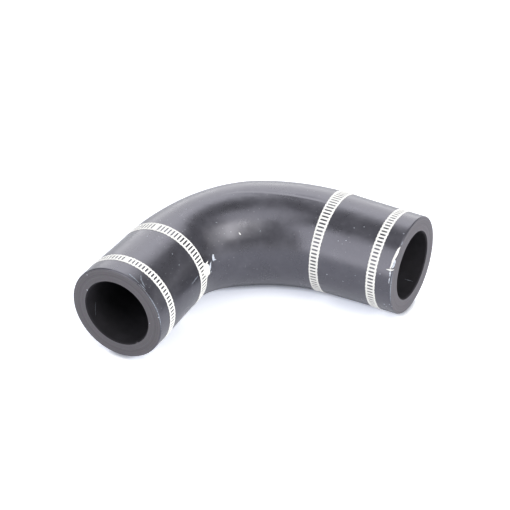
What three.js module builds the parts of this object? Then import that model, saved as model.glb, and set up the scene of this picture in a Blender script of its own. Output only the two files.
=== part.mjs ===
// Moulded coolant hose: a thick-walled rubber elbow, square-cut at both ends, with four white clamp marks.
// The left end faces -Y, the right end faces +X, and the hose lies flat with +Z up. Millimetres and degrees.
import * as THREE from 'three';

// Route of the centreline: straight leg, tight arc, easy arc, straight leg
const leftLegLength = 33;
const rightLegLength = 30;
const bendAngle = 90;
const tightBendRadius = 41;
const tightBendAngle = 61;
const easyBendRadius = 58;

// Wall: the bore is even, and the outside swells and narrows along the hose
const boreDiameter = 25.4;
const leftEndDiameter = 36.6;
const waistDiameter = 35;
const crownDiameter = 39;
const rightEndDiameter = 37.2;
const waistFromLeftEnd = 38.5;
const crownFromLeftEnd = 73.5;

// Cut ends
const rimRound = 0.8;
const boreEdgeBevel = 0.4;
const plyLineDiameter = 30.4;
const plyLineWidth = 0.5;
const plyLineDepth = 0.25;

// Clamp marks: ladder strips of white ink, wrapped once round the hose
const outerMarkFromEnd = 6.4;
const outerMarkWidth = 3.6;
const innerMarkFromEnd = 29.2;
const innerMarkWidth = 4.7;
const inkThickness = 0.2;
const inkClearance = 0.06;
const railWidth = 0.75;
const slotPitch = 1.42;
const slotWidth = 0.56;
const leftMarkSeam = 88;
const rightMarkSeam = 270;

// Fineness of the surfaces
const hoseSides = 32;
const bendSteps = 13;
const boreSteps = 13;
const rimSteps = 2;

const radians = THREE.MathUtils.degToRad;
const up = new THREE.Vector3(0, 0, 1);

const easyBendAngle = bendAngle - tightBendAngle;
const stretches = [
  { length: leftLegLength, turn: 0 },
  { length: tightBendRadius * radians(tightBendAngle), turn: radians(tightBendAngle) },
  { length: easyBendRadius * radians(easyBendAngle), turn: radians(easyBendAngle) },
  { length: rightLegLength, turn: 0 },
];
const hoseLength = stretches.reduce((sum, stretch) => sum + stretch.length, 0);

// Place and heading of the centreline at a distance from the left end
function centrelineAt(station) {
  const point = new THREE.Vector3();
  let heading = Math.PI / 2;
  let left = station;
  for (const { length, turn } of stretches) {
    const run = Math.min(left, length);
    const turned = turn * run / length;
    const chord = turned > 0 ? 2 * run / turned * Math.sin(turned / 2) : run;
    point.x += chord * Math.cos(heading - turned / 2);
    point.y += chord * Math.sin(heading - turned / 2);
    heading -= turned;
    left -= run;
  }
  return { point, heading };
}

// Outside radius: eased from the left end to the waist, on to the crown and down to the right end
function outerRadiusAt(station) {
  const knots = [
    [0, leftEndDiameter / 2],
    [waistFromLeftEnd, waistDiameter / 2],
    [crownFromLeftEnd, crownDiameter / 2],
    [hoseLength, rightEndDiameter / 2],
  ];
  const next = Math.max(1, knots.findIndex(([place]) => station <= place));
  const [fromPlace, fromRadius] = knots[next - 1];
  const [toPlace, toRadius] = knots[next];
  return THREE.MathUtils.lerp(fromRadius, toRadius, THREE.MathUtils.smoothstep(station, fromPlace, toPlace));
}

// Point on a circle of the given radius, square to the centreline: 0 is the outside of the bend, 90 the top
function pointAround({ point, heading }, radius, angle) {
  const side = new THREE.Vector3(-Math.sin(heading), Math.cos(heading), 0);
  return point.clone()
    .addScaledVector(side, radius * Math.cos(angle))
    .addScaledVector(up, radius * Math.sin(angle));
}

function meshFrom(name, points, quads, material) {
  const geometry = new THREE.BufferGeometry();
  geometry.setFromPoints(points);
  geometry.setIndex(quads.flatMap(([a, b, c, d]) => [a, b, c, a, c, d]));
  geometry.computeVertexNormals();
  const mesh = new THREE.Mesh(geometry, material);
  mesh.name = name;
  return mesh;
}

// Body of a closed profile of stations and radii, carried round and along the centreline
function loft(name, profile, sides, material) {
  const points = profile.flatMap(({ station, radius }) => {
    const place = centrelineAt(station);
    return Array.from({ length: sides }, (_, i) => pointAround(place, radius, 2 * Math.PI * i / sides));
  });
  const quads = profile.flatMap((_, row) => {
    const here = row * sides;
    const next = (row + 1) % profile.length * sides;
    return Array.from({ length: sides }, (_, i) => {
      const j = (i + 1) % sides;
      return [here + i, here + j, next + j, next + i];
    });
  });
  return meshFrom(name, points, quads, material);
}

function evenSteps(from, to, count) {
  return Array.from({ length: count + 1 }, (_, i) => THREE.MathUtils.lerp(from, to, i / count));
}

// Half profile of a cut end, from the bore to the start of the outside; inward is +1 at the left end
function cutEndProfile(end, inward) {
  const endRadius = outerRadiusAt(end);
  const boreRadius = boreDiameter / 2;
  const plyRadius = plyLineDiameter / 2;
  const rim = evenSteps(0, Math.PI / 2, rimSteps).map((angle) => ({
    station: end + inward * rimRound * (1 - Math.sin(angle)),
    radius: endRadius - rimRound * (1 - Math.cos(angle)),
  }));
  return [
    { station: end + inward * boreEdgeBevel, radius: boreRadius },
    { station: end, radius: boreRadius + boreEdgeBevel },
    { station: end, radius: plyRadius - plyLineWidth / 2 },
    { station: end + inward * plyLineDepth, radius: plyRadius },
    { station: end, radius: plyRadius + plyLineWidth / 2 },
    ...rim.reverse(),
  ];
}

// Clamp marks, two to a leg, set off from each end
const markPlaces = {
  left_outer_mark: { start: outerMarkFromEnd, width: outerMarkWidth, seam: leftMarkSeam },
  left_inner_mark: { start: innerMarkFromEnd, width: innerMarkWidth, seam: leftMarkSeam },
  right_inner_mark: {
    start: hoseLength - innerMarkFromEnd - innerMarkWidth, width: innerMarkWidth, seam: rightMarkSeam,
  },
  right_outer_mark: {
    start: hoseLength - outerMarkFromEnd - outerMarkWidth, width: outerMarkWidth, seam: rightMarkSeam,
  },
};

function makeHose(material) {
  const [leftOuter, leftInner, rightInner, rightOuter] = Object.values(markPlaces);
  const markEdges = ({ start, width }) => [start, start + width];
  const outside = [
    ...markEdges(leftOuter),
    leftInner.start,
    ...evenSteps(leftInner.start + leftInner.width, rightInner.start, bendSteps),
    rightInner.start + rightInner.width,
    ...markEdges(rightOuter),
  ].map((station) => ({ station, radius: outerRadiusAt(station) }));
  const leftEnd = cutEndProfile(0, 1);
  const rightEnd = cutEndProfile(hoseLength, -1).reverse();
  const bore = evenSteps(hoseLength - rightLegLength, leftLegLength, boreSteps)
    .map((station) => ({ station, radius: boreDiameter / 2 }));
  return loft('hose_body', [...leftEnd, ...outside, ...rightEnd, ...bore], hoseSides, material);
}

// Ladder strip round the hose: two rails joined by rungs, with the slot at the seam closed by ink
function makeMark(name, { start, width, seam }, material) {
  const underside = outerRadiusAt(start + width / 2) + inkClearance;
  const slotCount = Math.round(2 * Math.PI * underside / slotPitch);
  const halfSlot = slotWidth / underside / 2;
  const railEdges = [start, start + railWidth, start + width - railWidth, start + width];
  const places = railEdges.map((station) => ({
    place: centrelineAt(station),
    radius: outerRadiusAt(station) + inkClearance,
  }));
  const angles = Array.from({ length: slotCount }, (_, i) => radians(seam) + 2 * Math.PI * i / slotCount)
    .flatMap((middle) => [middle - halfSlot, middle + halfSlot]);
  const rowSize = 2 * railEdges.length;
  // Each row of points holds the underside of the four rail edges, then their top
  const points = angles.flatMap((angle) => [0, inkThickness].flatMap((height) => (
    places.map(({ place, radius }) => pointAround(place, radius + height, angle))
  )));
  const quads = angles.flatMap((_, row) => {
    const here = row * rowSize;
    const next = (row + 1) % angles.length * rowSize;
    const strip = (from, to) => [here + from, next + from, next + to, here + to];
    const wall = (base, flip) => {
      const ring = [base + 1, base + 2, base + 6, base + 5];
      return flip ? ring.reverse() : ring;
    };
    const rails = [strip(4, 5), strip(1, 0), strip(0, 4), strip(6, 7), strip(3, 2), strip(7, 3)];
    const isSlot = row % 2 === 0 && row > 0;
    return isSlot
      ? [...rails, strip(5, 1), strip(2, 6), wall(here, false), wall(next, true)]
      : [...rails, strip(5, 6), strip(2, 1)];
  });
  return meshFrom(name, points, quads, material);
}

const rubber = new THREE.MeshStandardMaterial({ color: 0x2d2c30, roughness: 0.6, metalness: 0 });
const whiteInk = new THREE.MeshStandardMaterial({ color: 0xf3f3f5, roughness: 0.55, metalness: 0 });

const hose = new THREE.Group();
hose.add(makeHose(rubber));
for (const [name, mark] of Object.entries(markPlaces)) {
  hose.add(makeMark(name, mark, whiteInk.clone()));
}

// Stand the hose on the ground, centred on the middle of its box
const box = new THREE.Box3().setFromObject(hose, true);
const middle = box.getCenter(new THREE.Vector3());
hose.children.forEach((mesh) => mesh.geometry.translate(-middle.x, -middle.y, -box.min.z));

export default hose;
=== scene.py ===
# Coolant hose: a moulded rubber elbow with four white clamp marks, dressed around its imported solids.
# Blender works in metres; the sizes written below are millimetres and degrees.
import math
import random

import bmesh
import bpy
import numpy as np
from mathutils import Matrix, Vector


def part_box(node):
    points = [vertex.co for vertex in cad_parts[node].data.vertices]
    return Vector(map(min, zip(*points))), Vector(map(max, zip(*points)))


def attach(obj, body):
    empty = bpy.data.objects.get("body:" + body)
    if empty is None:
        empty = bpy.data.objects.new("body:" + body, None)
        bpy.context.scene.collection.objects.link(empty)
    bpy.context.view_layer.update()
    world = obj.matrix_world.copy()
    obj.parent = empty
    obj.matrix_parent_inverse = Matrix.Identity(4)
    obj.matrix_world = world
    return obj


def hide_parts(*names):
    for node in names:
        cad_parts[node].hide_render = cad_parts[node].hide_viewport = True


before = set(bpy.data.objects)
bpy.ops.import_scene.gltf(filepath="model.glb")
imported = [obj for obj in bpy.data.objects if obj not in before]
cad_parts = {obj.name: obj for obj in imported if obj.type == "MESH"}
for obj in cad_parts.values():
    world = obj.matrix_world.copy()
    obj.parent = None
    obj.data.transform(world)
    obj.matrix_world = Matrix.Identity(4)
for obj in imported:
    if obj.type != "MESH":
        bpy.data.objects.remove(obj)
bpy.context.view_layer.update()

mm = 0.001
scene = bpy.context.scene
scene.view_settings.view_transform = "Standard"


def linearColour(hexCode):
    channels = [int(hexCode[i:i + 2], 16) / 255 for i in (1, 3, 5)]
    return [c / 12.92 if c <= 0.04045 else ((c + 0.055) / 1.055) ** 2.4 for c in channels] + [1]


# Camera

photoCamera = {
    "azimuth": 28.88,  # turned from +Y towards -X
    "elevation": 34.77,
    "roll": -0.31,
    "distance": 728.8,  # to the aim, in mm
    "aim": (-4.75, 7.05),  # where the view axis meets the plane of the bend
    "focalPixels": 1987.4,
    "imagePixels": 510,
    "sensor": 36,
}


def makeCamera(settings, aimHeight):
    azimuth = math.radians(settings["azimuth"])
    elevation = math.radians(settings["elevation"])
    back = Vector((
        math.sin(azimuth) * math.cos(elevation),
        -math.cos(azimuth) * math.cos(elevation),
        math.sin(elevation),
    ))
    camera = bpy.data.objects.new("camera", bpy.data.cameras.new("camera"))
    scene.collection.objects.link(camera)
    camera.data.sensor_width = settings["sensor"]
    camera.data.lens = settings["sensor"] * settings["focalPixels"] / settings["imagePixels"]
    aim = Vector((settings["aim"][0], settings["aim"][1], aimHeight))
    roll = Matrix.Rotation(math.radians(settings["roll"]), 3, "Z")
    turn = back.to_track_quat("Z", "Y").to_matrix() @ roll
    camera.matrix_world = Matrix.Translation((aim + back * settings["distance"]) * mm) @ turn.to_4x4()
    scene.camera = camera


# Route and wall of the elbow

elbow = {
    "leftLeg": 33,
    "tightRadius": 41,
    "tightTurn": 61,
    "easyRadius": 58,
    "easyTurn": 29,
    "rightLeg": 30,
    "boreRadius": 12.7,
    "leftEndRadius": 18.3,
    "waistRadius": 17.5,
    "waistFromLeft": 38.5,
    "crownRadius": 19.5,
    "crownFromLeft": 73.5,
    "rightEndRadius": 18.6,
    "rimRound": 0.5,
    "boreBevel": 0.4,
    "inset": 0.03,  # the dressed skin stays just under the solid's corners
    "endInset": 0.1,  # and its cut ends a little behind the solid's, so that smears on them stay in its box
    "waveDepth": 0.12,  # a moulded cover is never quite even
}
# share of the depth, waves in a turn, wave length along the hose, start of the wave
coverWaves = [
    (0.3, 2, 61, 0.4), (0.25, 3, -37, 2.1), (0.2, 5, 23, 4.0), (0.15, 4, -17, 1.2), (0.1, 0, 13, 5.2),
]

# a line left by the mould on top of the bend: a shallow dip with a ridge beside it
mouldLine = {
    "path": [  # station and angle
        (60, 90.6), (66.5, 91.8), (70.2, 93.4), (75.9, 95.7), (83.5, 97.4), (91.4, 98.8), (103.7, 99.6),
    ],
    "height": 0.1,
    "halfWidth": 0.8,
    "fade": 6,  # at both ends of the path
}

stretches = [
    (elbow["leftLeg"], 0),
    (elbow["tightRadius"] * math.radians(elbow["tightTurn"]), math.radians(elbow["tightTurn"])),
    (elbow["easyRadius"] * math.radians(elbow["easyTurn"]), math.radians(elbow["easyTurn"])),
    (elbow["rightLeg"], 0),
]
hoseLength = sum(length for length, _ in stretches)
cutAt = {"left": elbow["endInset"], "right": hoseLength - elbow["endInset"]}


def routeAt(station):
    # place in the plane of the bend and heading, at a distance from the left end
    heading = np.full(np.shape(station), math.pi / 2)
    x = np.zeros(np.shape(station))
    y = np.zeros(np.shape(station))
    left = np.array(station, float)
    for length, turn in stretches:
        run = np.minimum(left, length)
        turned = turn * run / length
        chord = run * np.sinc(turned / 2 / math.pi)
        x = x + chord * np.cos(heading - turned / 2)
        y = y + chord * np.sin(heading - turned / 2)
        heading = heading - turned
        left = left - run
    return x, y, heading


solidLow, solidHigh = (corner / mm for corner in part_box("hose_body"))
startX = solidHigh.x - float(routeAt(hoseLength)[0])
startY = solidLow.y
axisHeight = (solidLow.z + solidHigh.z) / 2


def outsideRadius(station):
    knots = [
        (0, elbow["leftEndRadius"]),
        (elbow["waistFromLeft"], elbow["waistRadius"]),
        (elbow["crownFromLeft"], elbow["crownRadius"]),
        (hoseLength, elbow["rightEndRadius"]),
    ]
    radius = np.full(np.shape(station), float(elbow["leftEndRadius"]))
    for (fromPlace, fromRadius), (toPlace, toRadius) in zip(knots, knots[1:]):
        share = np.clip((station - fromPlace) / (toPlace - fromPlace), 0, 1)
        eased = share * share * (3 - 2 * share)
        radius = np.where(station >= fromPlace, fromRadius + (toRadius - fromRadius) * eased, radius)
    return radius


def coverRadius(station, angle):
    low = 0
    for share, perTurn, waveLength, start in coverWaves:
        phase = perTurn * np.radians(angle) + 2 * math.pi * station / waveLength + start
        low = low + share * (1 + np.sin(phase)) / 2
    stations, angles = zip(*mouldLine["path"])
    offset = np.radians(angle - np.interp(station, stations, angles)) * elbow["crownRadius"]
    fromEnds = np.minimum(station - stations[0], stations[-1] - station)
    strength = np.clip(fromEnds / mouldLine["fade"], 0, 1)
    across = offset / mouldLine["halfWidth"]
    line = mouldLine["height"] * strength * across * np.exp(-across ** 2)
    return outsideRadius(station) - elbow["inset"] - elbow["waveDepth"] * low + line


def around(station, radius, angle, forward=0, outward=0):
    # point in mm, and a step off it along the hose and away from its axis
    # angle 0 is the outside of the bend, 90 the top
    x, y, heading = routeAt(station)
    reach = radius + outward
    sideways = reach * np.cos(np.radians(angle))
    return np.stack([
        startX + x - sideways * np.sin(heading) + forward * np.cos(heading),
        startY + y + sideways * np.cos(heading) + forward * np.sin(heading),
        axisHeight + reach * np.sin(np.radians(angle)),
    ], axis=-1)


def skinPlace(end, back, angle):
    # a place on the skin, back from the start of the rim
    # below 0 it goes over the rim, down the cut and into the bore
    # gives station, radius, and how far the skin faces along the hose and away from the axis
    inward = 1 if end == "left" else -1
    station = cutAt[end]
    rim = elbow["rimRound"]
    bevel = elbow["boreBevel"]
    endRadius = float(coverRadius(station + inward * rim, angle))
    past = -back
    rimArc = rim * math.pi / 2
    faceRun = endRadius - rim - elbow["boreRadius"] - bevel
    bevelRun = bevel * math.sqrt(2)
    if past < 0:
        station = station + inward * (rim + back)
        return station, float(coverRadius(station, angle)), 0, 1
    if past < rimArc:
        turn = past / rim
        radius = endRadius - rim * (1 - math.cos(turn))
        station = station + inward * rim * (1 - math.sin(turn))
        return station, radius, -inward * math.sin(turn), math.cos(turn)
    past -= rimArc
    if past < faceRun:
        return station, endRadius - rim - past, -inward, 0
    past -= faceRun
    if past < bevelRun:
        slope = past / math.sqrt(2)
        radius = elbow["boreRadius"] + bevel - slope
        return station + inward * slope, radius, -inward * math.sqrt(0.5), -math.sqrt(0.5)
    past -= bevelRun
    return station + inward * (bevel + past), elbow["boreRadius"], 0, -1


# Materials

def addNode(tree, kind, settings=None, links=None):
    node = tree.nodes.new(kind)
    for name, value in (settings or {}).items():
        if name == "stops":
            while len(node.color_ramp.elements) < len(value):
                node.color_ramp.elements.new(1)
            for element, (place, hexCode) in zip(node.color_ramp.elements, value):
                element.position = place
                element.color = linearColour(hexCode)
        elif isinstance(name, str) and hasattr(node, name):
            setattr(node, name, value)
        else:
            node.inputs[name].default_value = value
    for name, source in (links or {}).items():
        tree.links.new(source, node.inputs[name])
    return node


def perMetre(size):
    # texture scale for a pattern of this size in mm
    return 1 / (size * mm)


def startMaterial(name, settings):
    material = bpy.data.materials.new(name)
    material.use_nodes = True
    tree = material.node_tree
    shader = tree.nodes["Principled BSDF"]
    for socket, value in settings.items():
        shader.inputs[socket].default_value = value
    place = addNode(tree, "ShaderNodeTexCoord").outputs["Object"]
    return material, tree, shader, place


def mouldedRubber():
    # EPDM cover out of a steam mould: near black, satin, with a cloudy bloom, fine grain and specks of dust
    # its wax bloom reflects more than bare rubber does, with a cool cast
    material, tree, shader, place = startMaterial("satin moulded EPDM cover", {
        "IOR": 1.62, "Specular IOR Level": 1, "Specular Tint": linearColour("#f0efff"),
    })
    bloom = addNode(tree, "ShaderNodeTexNoise",
                    {"Scale": perMetre(9), "Detail": 6, "Roughness": 0.68}, {"Vector": place})
    tone = addNode(tree, "ShaderNodeValToRGB",
                   {"stops": [(0.34, "#19191b"), (0.5, "#232327"), (0.68, "#36363b")]},
                   {"Fac": bloom.outputs["Fac"]})
    # dust: dots of up to 0.3 mm, one to each 1.7 mm cell, of which the skin cuts about one in six
    cells = addNode(tree, "ShaderNodeTexVoronoi", {"Scale": perMetre(1.7)}, {"Vector": place})
    dot = addNode(tree, "ShaderNodeMapRange",
                  {"From Min": 0.05, "From Max": 0.13, "To Min": 1, "To Max": 0},
                  {"Value": cells.outputs["Distance"]})
    patches = addNode(tree, "ShaderNodeTexNoise", {"Scale": perMetre(16), "Detail": 2}, {"Vector": place})
    dusty = addNode(tree, "ShaderNodeMapRange",
                    {"From Min": 0.42, "From Max": 0.62, "To Min": 0.1, "To Max": 0.6},
                    {"Value": patches.outputs["Fac"]})
    speck = addNode(tree, "ShaderNodeMath", {"operation": "MULTIPLY"},
                    {0: dot.outputs["Result"], 1: dusty.outputs["Result"]})
    colour = addNode(tree, "ShaderNodeMix", {"data_type": "RGBA", 7: linearColour("#a9abb2")},
                     {0: speck.outputs["Value"], 6: tone.outputs["Color"]})
    tree.links.new(colour.outputs[2], shader.inputs["Base Color"])
    # the bloom is duller than the rubber under it
    gloss = addNode(tree, "ShaderNodeMapRange",
                    {"From Min": 0.3, "From Max": 0.7, "To Min": 0.24, "To Max": 0.36},
                    {"Value": bloom.outputs["Fac"]})
    tree.links.new(gloss.outputs["Result"], shader.inputs["Roughness"])
    # the mould's own grain is about 0.1 mm: drawn at 0.35 mm so that it shows
    grain = addNode(tree, "ShaderNodeTexNoise", {"Scale": perMetre(0.35), "Detail": 3}, {"Vector": place})
    fine = addNode(tree, "ShaderNodeBump", {"Strength": 0.25, "Distance": 0.03 * mm},
                   {"Height": grain.outputs["Fac"]})
    wavy = addNode(tree, "ShaderNodeTexNoise", {"Scale": perMetre(4), "Detail": 3}, {"Vector": place})
    soft = addNode(tree, "ShaderNodeBump", {"Strength": 0.7, "Distance": 0.1 * mm},
                   {"Height": wavy.outputs["Fac"], "Normal": fine.outputs["Normal"]})
    tree.links.new(soft.outputs["Normal"], shader.inputs["Normal"])
    return material


def cutRubber():
    # the same wall where a blade went through: matt, paler, with rings where its plies meet the cut
    material, tree, shader, place = startMaterial("knife-cut rubber wall", {"IOR": 1.5, "Roughness": 0.7})
    # fromAxis is in mm, and the rings are about 0.7 mm apart and wander by up to 0.5 mm
    radius = addNode(tree, "ShaderNodeAttribute", {"attribute_name": "fromAxis"})
    wander = addNode(tree, "ShaderNodeTexNoise", {"Scale": perMetre(14), "Detail": 2}, {"Vector": place})
    shift = addNode(tree, "ShaderNodeMath", {"operation": "MULTIPLY_ADD", 1: 0.5},
                    {0: wander.outputs["Fac"], 2: radius.outputs["Fac"]})
    rings = addNode(tree, "ShaderNodeTexNoise",
                    {"noise_dimensions": "1D", "Scale": 1.4, "Detail": 3, "Roughness": 0.7},
                    {"W": shift.outputs["Value"]})
    tone = addNode(tree, "ShaderNodeValToRGB",
                   {"stops": [(0.32, "#57555b"), (0.5, "#5f5d63"), (0.68, "#68666d")]},
                   {"Fac": rings.outputs["Fac"]})
    grit = addNode(tree, "ShaderNodeTexNoise",
                   {"Scale": perMetre(0.5), "Detail": 4, "Roughness": 0.7}, {"Vector": place})
    colour = addNode(tree, "ShaderNodeMix", {"data_type": "RGBA", "blend_type": "OVERLAY", 0: 0.25},
                     {6: tone.outputs["Color"], 7: grit.outputs["Color"]})
    tree.links.new(colour.outputs[2], shader.inputs["Base Color"])
    ridges = addNode(tree, "ShaderNodeBump", {"Strength": 0.35, "Distance": 0.05 * mm},
                     {"Height": rings.outputs["Fac"]})
    rough = addNode(tree, "ShaderNodeBump", {"Strength": 0.4, "Distance": 0.05 * mm},
                    {"Height": grit.outputs["Fac"], "Normal": ridges.outputs["Normal"]})
    tree.links.new(rough.outputs["Normal"], shader.inputs["Normal"])
    return material


def boreRubber():
    # inner tube, moulded on a mandrel: dead black and dull, so the mouths read as dark holes
    material, tree, shader, place = startMaterial("mandrel-moulded bore rubber", {
        "IOR": 1.5, "Specular IOR Level": 0.15, "Roughness": 0.8,
    })
    haze = addNode(tree, "ShaderNodeTexNoise", {"Scale": perMetre(5), "Detail": 4}, {"Vector": place})
    tone = addNode(tree, "ShaderNodeValToRGB", {"stops": [(0.3, "#262529"), (0.7, "#302f34")]},
                   {"Fac": haze.outputs["Fac"]})
    tree.links.new(tone.outputs["Color"], shader.inputs["Base Color"])
    bump = addNode(tree, "ShaderNodeBump", {"Strength": 0.4, "Distance": 0.05 * mm},
                   {"Height": haze.outputs["Fac"]})
    tree.links.new(bump.outputs["Normal"], shader.inputs["Normal"])
    return material


def printedInk():
    # thick white marking ink, rolled on: flat white, a little thin and grey in places
    material, tree, shader, place = startMaterial("rolled-on white marking ink", {
        "IOR": 1.5, "Roughness": 0.5,
    })
    wear = addNode(tree, "ShaderNodeTexNoise",
                   {"Scale": perMetre(1.6), "Detail": 5, "Roughness": 0.65}, {"Vector": place})
    tone = addNode(tree, "ShaderNodeValToRGB",
                   {"stops": [(0.28, "#d6d6d8"), (0.4, "#f1f1f1"), (0.6, "#f8f8f7")]},
                   {"Fac": wear.outputs["Fac"]})
    tree.links.new(tone.outputs["Color"], shader.inputs["Base Color"])
    bump = addNode(tree, "ShaderNodeBump", {"Strength": 0.3, "Distance": 0.03 * mm},
                   {"Height": wear.outputs["Fac"]})
    tree.links.new(bump.outputs["Normal"], shader.inputs["Normal"])
    return material


def draggedInk():
    # the same ink where it was dragged while wet: thinner, with the black showing through as a cool grey
    material, tree, shader, place = startMaterial("dragged thin ink", {"IOR": 1.5, "Roughness": 0.5})
    thin = addNode(tree, "ShaderNodeTexNoise",
                   {"Scale": perMetre(0.7), "Detail": 4, "Roughness": 0.7}, {"Vector": place})
    tone = addNode(tree, "ShaderNodeValToRGB",
                   {"stops": [(0.3, "#8d95a5"), (0.5, "#c3cad8"), (0.65, "#e6eaf2")]},
                   {"Fac": thin.outputs["Fac"]})
    tree.links.new(tone.outputs["Color"], shader.inputs["Base Color"])
    return material


def scuffAndRimHighlightRubber():
    # rubber rubbed dull and grey: a soft pale scratch; the same pale tone also paints highlights along both
    # rims and a glint on the right one
    material, tree, shader, place = startMaterial("scuffed rubber and painted rim highlights", {"IOR": 1.5, "Roughness": 0.8})
    streak = addNode(tree, "ShaderNodeTexNoise",
                     {"Scale": perMetre(0.6), "Detail": 4, "Roughness": 0.7}, {"Vector": place})
    tone = addNode(tree, "ShaderNodeValToRGB", {"stops": [(0.35, "#565962"), (0.6, "#98a0ae")]},
                   {"Fac": streak.outputs["Fac"]})
    tree.links.new(tone.outputs["Color"], shader.inputs["Base Color"])
    return material


# Making a piece from points in mm

def makePiece(name, points, faces, materials, sharpAngle):
    mesh = bpy.data.meshes.new(name)
    mesh.from_pydata((np.asarray(points) * mm).tolist(), [], faces)
    for material in materials:
        mesh.materials.append(material)
    piece = bpy.data.objects.new(name, mesh)
    scene.collection.objects.link(piece)
    mesh.shade_smooth()
    mesh.set_sharp_from_angle(angle=math.radians(sharpAngle))
    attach(piece, "root")
    return piece


def weldAndFaceOut(piece, distance):
    body = bmesh.new()
    body.from_mesh(piece.data)
    bmesh.ops.remove_doubles(body, verts=body.verts, dist=distance * mm)
    bmesh.ops.delete(body, geom=[corner for corner in body.verts if not corner.link_faces], context="VERTS")
    bmesh.ops.recalc_face_normals(body, faces=body.faces)
    body.to_mesh(piece.data)
    body.free()


# The hose: one closed skin over the cover, both cut ends and the bore

hoseSkin = {
    "sides": 180,
    "fineAngles": (88, 103, 0.5),  # from, to and step, closer together across the mould line
    "coverStep": 0.6,
    "rimSteps": 6,
    "faceStep": 0.13,
    "boreStep": 2,
    "plyRings": [  # in the cuts, where plies meet: radius, depth, half width
        (15.2, 0.08, 0.15), (14.1, 0.03, 0.12), (14.7, 0.02, 0.1), (16.1, 0.04, 0.12), (16.8, 0.03, 0.1),
    ],
    "ringWander": 0.12,
    # a nub of rubber at the lip of the left bore, with its reach over the cut and into the bore
    "lipNub": {"angle": 231.5, "spread": 1.6, "height": 0.45, "overCut": 1.2, "intoBore": 1},
    "sharpAngle": 40,
}


def hoseProfile():
    # rows of (station, radius, part of the skin), in a loop from the left bore to the right bore and back
    rim = elbow["rimRound"]
    bore = elbow["boreRadius"]
    bevel = elbow["boreBevel"]

    def endRows(station, inward, endRadius):
        rows = [
            (station + inward * bevel, bore, "bore"),
            (station + inward * bevel / 2, bore + bevel / 2, "bore"),
        ]
        faceSteps = round((endRadius - rim - bore - bevel) / hoseSkin["faceStep"])
        for radius in np.linspace(bore + bevel, endRadius - rim, faceSteps):
            rows.append((station, radius, "face"))
        for turn in np.linspace(math.pi / 2, 0, hoseSkin["rimSteps"] + 1)[1:]:
            radius = endRadius - rim * (1 - math.cos(turn))
            rows.append((station + inward * rim * (1 - math.sin(turn)), radius, "rim"))
        return rows

    leftRows = endRows(cutAt["left"], 1, elbow["leftEndRadius"])
    rightRows = endRows(cutAt["right"], -1, elbow["rightEndRadius"])[::-1]
    coverSteps = round(hoseLength / hoseSkin["coverStep"])
    coverStations = np.linspace(cutAt["left"] + rim, cutAt["right"] - rim, coverSteps)[1:-1]
    coverRows = [(station, 0, "cover") for station in coverStations]
    boreSteps = round(hoseLength / hoseSkin["boreStep"])
    boreStations = np.linspace(cutAt["right"] - bevel, cutAt["left"] + bevel, boreSteps)[1:-1]
    boreRows = [(station, bore, "bore") for station in boreStations]
    return leftRows + coverRows + rightRows + boreRows


def makeHose(materials):
    angles = np.union1d(np.arange(0, 360, 360 / hoseSkin["sides"]), np.arange(*hoseSkin["fineAngles"]))
    sides = len(angles)
    nub = hoseSkin["lipNub"]
    rows = hoseProfile()
    points = []
    radii = []
    for station, radius, part in rows:
        forward = 0
        inward = 1 if station < hoseLength / 2 else -1
        if part == "cover":
            radius = coverRadius(station, angles)
        elif part == "rim":
            radius = radius - outsideRadius(station) + coverRadius(station, angles)
        elif part == "face":
            wander = hoseSkin["ringWander"] * np.sin(np.radians(angles) + station)
            for ring, depth, halfWidth in hoseSkin["plyRings"]:
                forward = forward + inward * depth * np.exp(-((radius + wander - ring) / halfWidth) ** 2)
        if part in ("face", "bore") and station < nub["intoBore"]:
            nearLip = max(0, 1 - abs(radius - elbow["boreRadius"]) / nub["overCut"])
            bulge = np.exp(-((angles - nub["angle"]) / nub["spread"]) ** 2)
            radius = radius - nub["height"] * nearLip * bulge
        radii.append(np.broadcast_to(radius, sides))
        points.append(around(np.full(sides, station), radii[-1], angles, forward))
    faces = []
    kinds = []
    for row in range(len(rows)):
        here = row * sides
        there = (row + 1) % len(rows) * sides
        for i in range(sides):
            j = (i + 1) % sides
            faces.append((here + i, here + j, there + j, there + i))
        parts = {rows[row][2], rows[(row + 1) % len(rows)][2]}
        if "bore" in parts:
            kind = "bore"
        elif "face" in parts:
            kind = "cut"
        else:
            kind = "cover"
        kinds += [list(materials).index(kind)] * sides
    piece = makePiece(
        "rubber_elbow", np.concatenate(points), faces, list(materials.values()),
        hoseSkin["sharpAngle"],
    )
    piece.data.polygons.foreach_set("material_index", kinds)
    fromAxis = piece.data.attributes.new("fromAxis", "FLOAT", "POINT")
    fromAxis.data.foreach_set("value", np.concatenate(radii).astype(np.float32))
    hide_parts("hose_body")


# The clamp marks: ladders of ink, each slot a real opening

ladder = {
    "outerFromEnd": 6.4,
    "outerWidth": 3.6,
    "innerFromEnd": 29.2,
    "innerWidth": 4.7,
    "rail": 0.7,
    "slotShare": 0.44,  # of the pitch
    "thickness": 0.13,
    "sunk": 0.03,  # ink keys into the rubber
    "edgeRound": 0.05,
    "scallop": 0.07,  # the rails bulge at each rung
    "unevenness": 0.025,  # of the edges along the hose, in the waves below
    "shakes": [(1, 23, 1.3), (0.6, 57, -2.1)],  # share, waves in a turn, radians to a mm of station
    "squareness": 5,  # of the slots' corners: 2 is an ellipse, 10 a rectangle
    "sharpAngle": 60,
    "weld": 0.002,  # joins the rungs and rails of one slot to the next
}


def rightStart(fromEnd, width):
    return hoseLength - fromEnd - width


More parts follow.
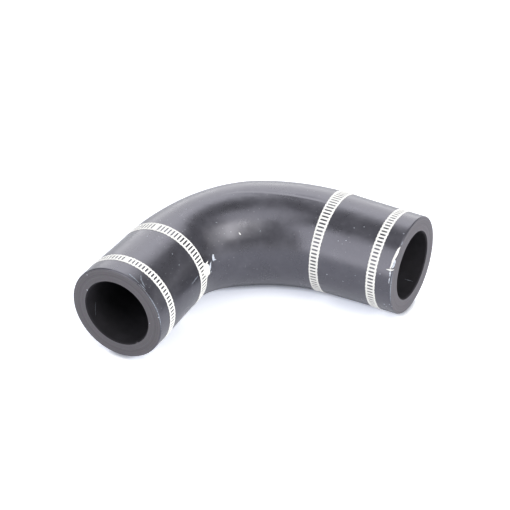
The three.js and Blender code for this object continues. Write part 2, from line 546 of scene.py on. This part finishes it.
# slots in a turn, place of one slot's middle, and the slots that ink has closed or partly filled
# filled gives the share of a slot's length that is still open, and where along the slot it lies
clampMarks = {
    "left_outer_mark": {
        "start": ladder["outerFromEnd"], "width": ladder["outerWidth"], "slots": 82, "firstSlot": 94.5,
        "closed": [-1], "filled": {},
    },
    "left_inner_mark": {
        "start": ladder["innerFromEnd"], "width": ladder["innerWidth"], "slots": 79, "firstSlot": 88,
        "closed": [-1], "filled": {17: (0.55, -0.3), 18: (0.4, -0.4), 16: (0.85, -0.1), 19: (0.8, 0)},
    },
    "right_inner_mark": {
        "start": rightStart(ladder["innerFromEnd"], ladder["innerWidth"]), "width": ladder["innerWidth"],
        "slots": 83, "firstSlot": 109.8, "closed": [37], "filled": {},
    },
    "right_outer_mark": {
        "start": rightStart(ladder["outerFromEnd"], ladder["outerWidth"]), "width": ladder["outerWidth"],
        "slots": 82, "firstSlot": 106, "closed": [37], "filled": {},
    },
}


def squareLoop():
    # points round a square from -1 to 1, closer together at its corners
    across = [-1, -0.94, -0.84, -0.65, -0.35, 0, 0.35, 0.65, 0.84, 0.94, 1]
    along = [-1, -0.7, -0.35, 0, 0.35, 0.7, 1]
    loop = [(x, -1) for x in along[:-1]] + [(1, y) for y in across[:-1]]
    return loop + [(-x, 1) for x in along[:-1]] + [(-1, -y) for y in across[:-1]]


def inkPoint(angle, station, height):
    # ink follows the cover, with a slightly shaky edge
    shake = sum(
        share * np.sin(np.radians(angle) * perTurn + perMm * station)
        for share, perTurn, perMm in ladder["shakes"]
    )
    station = station + ladder["unevenness"] * shake
    return around(station, coverRadius(station, angle), angle, outward=height)


def makeMark(name, mark, ink):
    pitch = 360 / mark["slots"]
    halfWidth = mark["width"] / 2
    middle = mark["start"] + halfWidth
    girth = float(outsideRadius(middle)) * math.radians(1)  # mm of arc in a degree
    halfSlot = ladder["slotShare"] * pitch / 2
    slotReach = halfWidth - ladder["rail"]
    top = ladder["thickness"]
    bottom = -ladder["sunk"]
    shoulder = top - ladder["edgeRound"]
    roundAngle = ladder["edgeRound"] / girth
    power = ladder["squareness"]
    loop = squareLoop()
    count = len(loop)
    closed = {slot % mark["slots"] for slot in mark["closed"]}
    places = []
    faces = []
    for slot in range(mark["slots"]):
        centre = mark["firstSlot"] + slot * pitch
        share, shift = mark["filled"].get(slot, (1, 0))
        rings = {"bottom": [], "edge": [], "top": [], "slotBottom": [], "slotShoulder": [], "slotTop": []}
        for x, y in loop:
            angle = centre + x * pitch / 2
            bulge = ladder["scallop"] * math.cos(math.pi * x)
            reach = halfWidth - bulge
            onRail = abs(y) == 1
            rings["bottom"].append((angle, middle + y * reach, bottom))
            rings["edge"].append((angle, middle + y * reach, shoulder))
            rings["top"].append((angle, middle + y * (reach - ladder["edgeRound"] * onRail), top))
            shrink = (abs(x) ** power + abs(y) ** power) ** (1 / power)
            slotX = x / shrink
            slotY = y / shrink * share + shift * (1 - share)
            inside = (centre + slotX * halfSlot, middle + slotY * slotReach)
            widened = (
                centre + slotX * (halfSlot + roundAngle),
                middle + slotY * slotReach + y / shrink * ladder["edgeRound"],
            )
            rings["slotBottom"].append((*inside, bottom))
            rings["slotShoulder"].append((*inside, shoulder))
            rings["slotTop"].append((*widened, top))
        at = {}
        for part, ring in rings.items():
            at[part] = len(places)
            places += ring
        strips = [("top", "slotTop"), ("slotBottom", "bottom")]
        if slot in closed:
            faces.append(tuple(at["slotTop"] + k for k in range(count)))
            faces.append(tuple(at["slotBottom"] + k for k in range(count))[::-1])
        else:
            strips += [("slotTop", "slotShoulder"), ("slotShoulder", "slotBottom")]
        for outer, inner in strips:
            for k in range(count):
                n = (k + 1) % count
                faces.append((at[outer] + k, at[outer] + n, at[inner] + n, at[inner] + k))
        for k in range(count):
            n = (k + 1) % count
            if abs(loop[k][1]) == 1 and loop[k][1] == loop[n][1]:
                faces.append((at["bottom"] + k, at["bottom"] + n, at["edge"] + n, at["edge"] + k))
                faces.append((at["edge"] + k, at["edge"] + n, at["top"] + n, at["top"] + k))
    angles, stations, heights = np.array(places).T
    points = inkPoint(angles, stations, heights)
    ladderName = name.replace("mark", "ladder")
    piece = makePiece(ladderName, points, faces, [ink], ladder["sharpAngle"])
    weldAndFaceOut(piece, ladder["weld"])
    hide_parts(name)


# Smears, scuff marks, painted rim highlights and flecks: strokes on the skin
# each point of a path: mm back from the start of the rim (below 0 it is over the rim), angle, width

strokes = {
    "section": [(-1, 0.1), (-0.7, 0.8), (0, 1), (0.7, 0.8), (1, 0.1)],  # place across it, and height
    "sunk": 0.03,
    "step": 0.25,
    "leastRows": 4,
    "ragged": 0.15,
    "sharpAngle": 60,
    "weld": 0.0001,
    "seeds": {"ink_smears": 3, "thin_ink_smears": 5, "rim_scuff_and_highlight_strokes": 7, "dust_flecks": 9},
}

inkSmears = [
    ("left", 0.1, [
        (33.4, 158.6, 0.3), (33.8, 161, 1.4), (34, 163, 1.9), (34.2, 165, 2.3), (34.8, 167, 3.4),
        (35.4, 169.5, 4.6), (35.2, 172.2, 4.2), (34.4, 174.6, 2.6), (33.6, 178.2, 1), (33.2, 181, 0.3),
    ]),
    ("left", 0.1, [(34.2, 163.6, 1.5), (35.6, 162.2, 1), (37.4, 160.2, 0.15)]),
    ("left", 0.12, [(62, 142.8, 0.35), (62.2, 144.2, 0.7), (62.8, 145.4, 0.4)]),
    ("right", 0.08, [
        (-0.32, 127, 0.25), (-0.05, 130, 0.75), (0.05, 134, 1), (0.15, 138, 1), (0.4, 142, 0.9),
        (0.5, 146, 0.8), (0.55, 149.6, 0.75), (0.85, 153, 0.5),
    ]),
    ("right", 0.08, [
        (2.2, 155.2, 0.15), (1.4, 155, 0.4), (0.7, 154.8, 0.75), (-0.2, 154, 0.4), (-0.64, 153.2, 0.12),
    ]),
]
thinSmears = [
    ("left", 0.08, [
        (42.9, 157, 0.6), (42.5, 159, 1.4), (42.1, 161.3, 1.7), (41.9, 163.4, 1.5), (41.8, 164.8, 0.7),
    ]),
    ("left", 0.08, [(42.4, 163.2, 0.6), (43.2, 164, 0.45), (43.8, 164.4, 0.2)]),
    ("left", 0.09, [
        (37.2, 171, 1.4), (38.1, 168.8, 1.6), (38.6, 166.6, 1.1), (39.2, 165, 0.5), (39.9, 163.4, 0.12),
    ]),
    ("left", 0.06, [(37.9, 174.8, 0.2), (38.2, 175.6, 0.45), (38.6, 176.6, 0.2)]),
    ("right", 0.06, [(-0.2, 142.4, 0.3), (-0.2, 145.5, 0.8), (-0.1, 149, 0.9), (0.1, 152, 0.4)]),
    ("right", 0.06, [(0.55, 155.6, 0.3), (0.5, 158, 0.6), (0.4, 161.8, 0.5)]),
    ("right", 0.05, [(0.4, 163.4, 0.15), (0.4, 165.6, 0.4), (0.4, 170.4, 0.15)]),
]
scuffsAndRimHighlights = [
    ("left", 0.03, [(1.4, 104, 0.2), (1.1, 108, 0.6), (0.9, 113, 0.35), (0.5, 121, 0.2)]),
    ("left", 0.03, [(0.5, 122, 0.2), (0.4, 126, 0.4), (0.3, 131, 0.2)]),
    ("left", 0.03, [(4, 116, 0.2), (3.2, 118, 0.5), (2.4, 119.5, 0.3), (1.6, 124, 0.5), (1, 129, 0.2)]),
    ("left", 0.025, [(22.6, 167.4, 0.15), (25, 166.6, 0.35), (27.6, 165.6, 0.15)]),
    # painted highlight: a pale line along the left rim, where it catches the light
    ("left", 0.03, [
        (-0.3, 134, 0.1), (-0.35, 146, 0.3), (-0.35, 158, 0.32), (-0.35, 170, 0.3), (-0.3, 184, 0.1),
    ]),
    # painted highlights: a pale line along the right rim, and a glint on it
    ("right", 0.03, [(-0.4, 155, 0.1), (-0.45, 168, 0.32), (-0.45, 180, 0.32), (-0.4, 198, 0.1)]),
    ("right", 0.03, [(-0.4, 119.5, 0.15), (-0.45, 122, 0.5), (-0.4, 124.5, 0.15)]),
    # faint pale lines inside both bores
    ("left", 0.02, [(-10.9, 346.4, 0.06), (-9.6, 338, 0.11), (-8.2, 327.6, 0.06)]),
    ("right", 0.02, [(-11, 296, 0.06), (-9.3, 296.2, 0.16), (-7.7, 296.4, 0.06)]),
]
fleckShape = {"thickness": 0.05, "tip": 0.4}  # tip: width of its two ends, as a share of its size
# flecks of dust and ink: end, mm back from the start of the rim, angle, size
flecks = [
    ("left", 45.8, 88.8, 0.3), ("left", 21.1, 138, 0.35), ("left", 52.2, 124.4, 0.3),
    ("left", 24.1, 84.8, 0.3), ("left", 35.5, 78.8, 0.3), ("left", 22.2, 123.6, 0.3),
    ("left", 74.5, 144, 0.35), ("left", 72, 188.8, 0.3), ("left", -1.4, 47.6, 0.4),
    ("left", -5.2, 26.8, 0.55), ("left", -0.6, 166.4, 0.5), ("left", -0.5, 247.6, 0.35),
    ("left", -4.9, 178.4, 0.3), ("right", 15.4, 116.4, 0.3), ("right", 19.8, 137.6, 0.35),
    ("right", 24.7, 182.4, 0.4), ("right", 18.3, 185.6, 0.3), ("right", 13.6, 173.2, 0.3),
    ("right", 18.7, 121.2, 0.3), ("right", 22.6, 140.4, 0.3), ("right", 4.2, 162.4, 0.35),
    ("right", 0.6, 110.4, 0.4), ("right", 2.4, 204.4, 0.45), ("right", 0.2, 201.6, 0.4),
    ("right", 1.9, 208.8, 0.3), ("right", -0.5, 205.6, 0.3),
]


def addStroke(points, faces, end, thickness, path, draw):
    path = np.array(path, float)
    spans = np.hypot(np.diff(path[:, 0]), np.radians(np.diff(path[:, 1])) * elbow["rightEndRadius"])
    reach = np.concatenate([[0], np.cumsum(spans)])
    count = max(strokes["leastRows"], round(reach[-1] / strokes["step"]) + 1)
    at = np.linspace(0, reach[-1], count)
    back, angle, width = (np.interp(at, reach, path[:, column]) for column in range(3))
    base = len(points)
    across = len(strokes["section"])
    for i in range(count):
        before, after = max(0, i - 1), min(count - 1, i + 1)
        radius = skinPlace(end, back[i], angle[i])[1]
        runBack = back[after] - back[before]
        runRound = math.radians(angle[after] - angle[before]) * radius
        run = math.hypot(runBack, runRound)
        left = 1 + strokes["ragged"] * draw.uniform(-1, 1)
        right = 1 + strokes["ragged"] * draw.uniform(-1, 1)
        for under in (False, True):
            for place, height in strokes["section"]:
                offset = place * width[i] / 2 * (left if place < 0 else right)
                pointBack = back[i] - offset * runRound / run
                pointAngle = angle[i] + math.degrees(offset * runBack / run / radius)
                station, skinRadius, along, out = skinPlace(end, pointBack, pointAngle)
                lift = -strokes["sunk"] if under else height * thickness
                points.append(around(station, skinRadius, pointAngle, along * lift, out * lift))
    for i in range(count):
        here = base + i * 2 * across
        there = here + 2 * across
        hereUnder = here + across
        thereUnder = there + across
        for k in range(across - 1):
            if i == 0:
                faces.append((here + k, here + k + 1, hereUnder + k + 1, hereUnder + k))
            if i == count - 1:
                faces.append((here + k, hereUnder + k, hereUnder + k + 1, here + k + 1))
                continue
            faces.append((here + k, there + k, there + k + 1, here + k + 1))
            faces.append((hereUnder + k, hereUnder + k + 1, thereUnder + k + 1, thereUnder + k))
        if i < count - 1:
            faces.append((here, hereUnder, thereUnder, there))
            faces.append((hereUnder - 1, thereUnder - 1, thereUnder + across - 1, hereUnder + across - 1))


def makeStrokes(name, marks, material):
    draw = random.Random(strokes["seeds"][name])
    points = []
    faces = []
    for end, thickness, path in marks:
        addStroke(points, faces, end, thickness, path, draw)
    piece = makePiece(name, points, faces, [material], strokes["sharpAngle"])
    weldAndFaceOut(piece, strokes["weld"])


def fleckStroke(end, back, angle, size):
    # a fleck is a stroke as long as it is wide
    tip = size * fleckShape["tip"]
    path = [(back - size / 2, angle, tip), (back, angle, size), (back + size / 2, angle, tip)]
    return end, fleckShape["thickness"], path


# Studio: pale floor, seven softboxes, white surroundings and a grey canopy that only reflections see

studio = {
    "floorSize": 2.4,
    "floorColour": "#e6e6e8",  # as it lights the hose
    "seenFloor": "#ffffff",  # as the camera sees it: paper at the edge of clipping, with a pale shadow
    "glow": "#b0b5c4",  # added to what is seen, so that the shadow stays pale
    "contact": 2,  # mm, how near to the object the paper darkens
    "mirroredContact": 4,  # the same where the rubber mirrors the paper
    "mirroredGlow": 0.75,  # share of the glow that the rubber mirrors
    "ambient": 0.2,
    "canopy": {"radius": 2.4, "from": 14, "to": 89, "colour": "#b0b0b4", "sides": 48, "rings": 12},
    # degrees to the right of the view direction, degrees up, distance, width and height in metres,
    # radiance, colour
    "softboxes": {
        "back softbox": (2, 28, 1.3, 1.3, 1.3, 1.85, "#ffffff"),
        "back softbox top": (-6, 51, 1.25, 0.9, 0.5, 0.8, "#ffffff"),
        "left softbox": (-130, 29, 1.3, 0.85, 1.35, 2.2, "#ffffff"),
        "right softbox": (118, 40, 1.3, 0.7, 0.9, 1, "#fffef5"),
        "right softbox middle": (147, 46, 1.25, 0.42, 0.75, 4.9, "#fffef5"),
        "overhead softbox": (170, 76, 1.2, 0.6, 0.6, 1.7, "#ffffff"),
        "edge softbox": (119, 10, 1.3, 1, 0.42, 8.5, "#ffffff"),
    },
}

seenBy = ["Is Camera Ray", "Is Glossy Ray", "Is Transmission Ray"]


def anyOf(tree, names):
    # 1 for rays of these kinds
    path = addNode(tree, "ShaderNodeLightPath")
    found = path.outputs[names[0]]
    for name in names[1:]:
        either = addNode(tree, "ShaderNodeMath", {"operation": "MAXIMUM"},
                         {0: found, 1: path.outputs[name]})
        found = either.outputs["Value"]
    return found


def fromView(right, height, distance):
    # a place in the studio, in degrees to the right of the view direction and degrees up
    heading = math.radians(photoCamera["azimuth"] + 90 - right)
    up = math.radians(height)
    flat = distance * math.cos(up)
    return Vector((flat * math.cos(heading), flat * math.sin(heading), distance * math.sin(up)))


def makeStage(name, points, faces, material):
    mesh = bpy.data.meshes.new(name)
    mesh.from_pydata(points, [], faces)
    mesh.materials.append(material)
    thing = bpy.data.objects.new(name, mesh)
    scene.collection.objects.link(thing)
    return thing


def makeWorld():
    scene.world = bpy.data.worlds.new("white studio")
    scene.world.use_nodes = True
    tree = scene.world.node_tree
    tree.nodes.clear()
    soft = addNode(tree, "ShaderNodeBackground",
                   {"Color": linearColour("#ffffff"), "Strength": studio["ambient"]})
    white = addNode(tree, "ShaderNodeBackground", {"Color": linearColour("#ffffff"), "Strength": 1})
    mixed = addNode(tree, "ShaderNodeMixShader", {},
                    {0: anyOf(tree, seenBy), 1: soft.outputs[0], 2: white.outputs[0]})
    addNode(tree, "ShaderNodeOutputWorld", {}, {"Surface": mixed.outputs[0]})


def makeFloor():
    paper = bpy.data.materials.new("matt white paper")
    paper.use_nodes = True
    tree = paper.node_tree
    tree.nodes.clear()
    plain = addNode(tree, "ShaderNodeBsdfDiffuse", {"Color": linearColour(studio["floorColour"])})
    toned = addNode(tree, "ShaderNodeBsdfDiffuse", {"Color": linearColour(studio["seenFloor"])})
    bare = addNode(tree, "ShaderNodeMixShader", {}, {
        0: anyOf(tree, ["Is Camera Ray", "Is Transmission Ray"]), 1: plain.outputs[0], 2: toned.outputs[0],
    })
    camera = anyOf(tree, ["Is Camera Ray"])
    reach = addNode(tree, "ShaderNodeMapRange", {
        "To Min": studio["mirroredContact"] * mm, "To Max": studio["contact"] * mm,
    }, {"Value": camera})
    # the paper goes dark where the hose touches it, as a soft lamp can't reach in there
    near = addNode(tree, "ShaderNodeAmbientOcclusion", {"samples": 8},
                   {"Distance": reach.outputs["Result"]})
    strength = addNode(tree, "ShaderNodeMapRange", {"To Min": studio["mirroredGlow"], "To Max": 1},
                       {"Value": camera})
    glow = addNode(tree, "ShaderNodeEmission", {"Color": linearColour(studio["glow"])},
                   {"Strength": strength.outputs["Result"]})
    lifted = addNode(tree, "ShaderNodeAddShader", {}, {0: bare.outputs[0], 1: glow.outputs[0]})
    shaded = addNode(tree, "ShaderNodeMixShader", {}, {0: near.outputs["AO"], 2: lifted.outputs[0]})
    mixed = addNode(tree, "ShaderNodeMixShader", {},
                    {0: anyOf(tree, seenBy), 1: bare.outputs[0], 2: shaded.outputs[0]})
    addNode(tree, "ShaderNodeOutputMaterial", {}, {"Surface": mixed.outputs[0]})
    half = studio["floorSize"] / 2
    corners = [(-half, -half, 0), (half, -half, 0), (half, half, 0), (-half, half, 0)]
    floor = makeStage("floor", corners, [(0, 1, 2, 3)], paper)
    floor.location.z = solidLow.z * mm


def makeCanopy(canopy):
    # grey cloth round and above the lamps: it darkens the gaps between them in the rubber's reflections
    cloth = bpy.data.materials.new("grey canopy cloth")
    cloth.use_nodes = True
    tree = cloth.node_tree
    tree.nodes.clear()
    glow = addNode(tree, "ShaderNodeEmission", {"Color": linearColour(canopy["colour"]), "Strength": 1})
    addNode(tree, "ShaderNodeOutputMaterial", {}, {"Surface": glow.outputs[0]})
    sides = canopy["sides"]
    heights = np.linspace(canopy["from"], canopy["to"], canopy["rings"])
    points = []
    faces = []
    for row, height in enumerate(heights):
        here = row * sides
        there = here + sides
        for i in range(sides):
            j = (i + 1) % sides
            points.append(fromView(360 * i / sides, height, canopy["radius"]))
            if row < len(heights) - 1:
                faces.append((here + i, here + j, there + j, there + i))
    cover = makeStage("canopy", points, faces, cloth)
    cover.visible_camera = False
    cover.visible_diffuse = False
    cover.visible_transmission = False
    cover.visible_shadow = False


def makeLamp(name, right, height, distance, width, tall, radiance, colour):
    lamp = bpy.data.objects.new(name, bpy.data.lights.new(name, "AREA"))
    lamp.data.shape = "RECTANGLE"
    lamp.data.size = width
    lamp.data.size_y = tall
    lamp.data.energy = math.pi * radiance * width * tall
    lamp.data.color = linearColour(colour)[:3]
    lamp.location = fromView(right, height, distance)
    lamp.rotation_euler = lamp.location.to_track_quat("Z", "Y").to_euler()
    scene.collection.objects.link(lamp)


def makeStudio():
    makeWorld()
    makeFloor()
    makeCanopy(studio["canopy"])
    for name, settings in studio["softboxes"].items():
        makeLamp(name, *settings)
    # low and hard from the right: it lifts the right cut, and the satin cover doesn't mirror it
    bpy.data.objects["edge softbox"].visible_glossy = False


makeCamera(photoCamera, axisHeight)
print("camera set")
makeHose({"cover": mouldedRubber(), "cut": cutRubber(), "bore": boreRubber()})
print("hose skin made")
ink = printedInk()
for name, mark in clampMarks.items():
    makeMark(name, mark, ink)
print("four clamp marks made")
thinInk = draggedInk()
makeStrokes("ink_smears", inkSmears, ink)
makeStrokes("thin_ink_smears", thinSmears, thinInk)
# these rim strokes are part scuff marks, part painted highlights along the rims
makeStrokes("rim_scuff_and_highlight_strokes", scuffsAndRimHighlights, scuffAndRimHighlightRubber())
makeStrokes("dust_flecks", [fleckStroke(*fleck) for fleck in flecks], thinInk)
print("smears, scuffs and flecks made")
makeStudio()
print("studio set")
